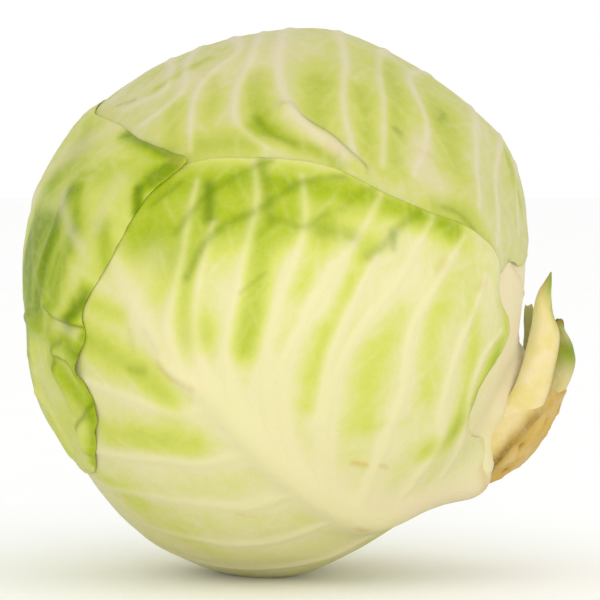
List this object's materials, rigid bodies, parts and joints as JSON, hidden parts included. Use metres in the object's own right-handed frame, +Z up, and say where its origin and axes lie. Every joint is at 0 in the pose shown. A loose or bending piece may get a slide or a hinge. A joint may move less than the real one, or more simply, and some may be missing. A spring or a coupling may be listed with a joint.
{
  "type": "green cabbage head",
  "caption": "Round green cabbage head lying on its side, with overlapping cupped wrapper leaves, a short cut stem and torn leaf bases.",
  "frame": {"origin": "middle of the footprint box, on the surface that the head rests on", "axes": "+Z up; the stem points to +X and about 29 degrees down, the crown to -X and up; -Y is the front, seen with the big front leaf facing the viewer"},
  "size_m": [0.166, 0.1663, 0.1659],
  "materials": {
    "heart": "smooth waxy leaf, pressed tight; wood stands in for plant tissue",
    "inner_leaf_right": "thick pinkish-white leaf rib; wood stands in for plant tissue",
    "inner_leaf_under": "pale green waxy leaf; wood stands in for plant tissue",
    "top_leaf": "pale green waxy leaf with cream veins; wood stands in for plant tissue",
    "front_leaf": "cream to yellow-green waxy leaf; wood stands in for plant tissue",
    "back_leaf": "mid green waxy leaf, crinkled at its edge; wood stands in for plant tissue",
    "stem": "cut stem, cream with tan scars; wood stands in for plant tissue",
    "torn_leaf_base_tall": "torn leaf foot, yellow with a green tip; wood stands in for plant tissue",
    "torn_leaf_base_short": "torn leaf foot, bright green with a brown top; wood stands in for plant tissue",
    "torn_leaf_base_small": "torn leaf foot, olive; wood stands in for plant tissue"
  },
  "bodies": {
    "root": {"heart": "heart", "inner_leaf_right": "inner_leaf_right", "inner_leaf_under": "inner_leaf_under", "top_leaf": "top_leaf", "front_leaf": "front_leaf", "back_leaf": "back_leaf", "stem": "stem", "torn_leaf_base_tall": "torn_leaf_base_tall", "torn_leaf_base_short": "torn_leaf_base_short", "torn_leaf_base_small": "torn_leaf_base_small"}
  },
  "joints": []
}
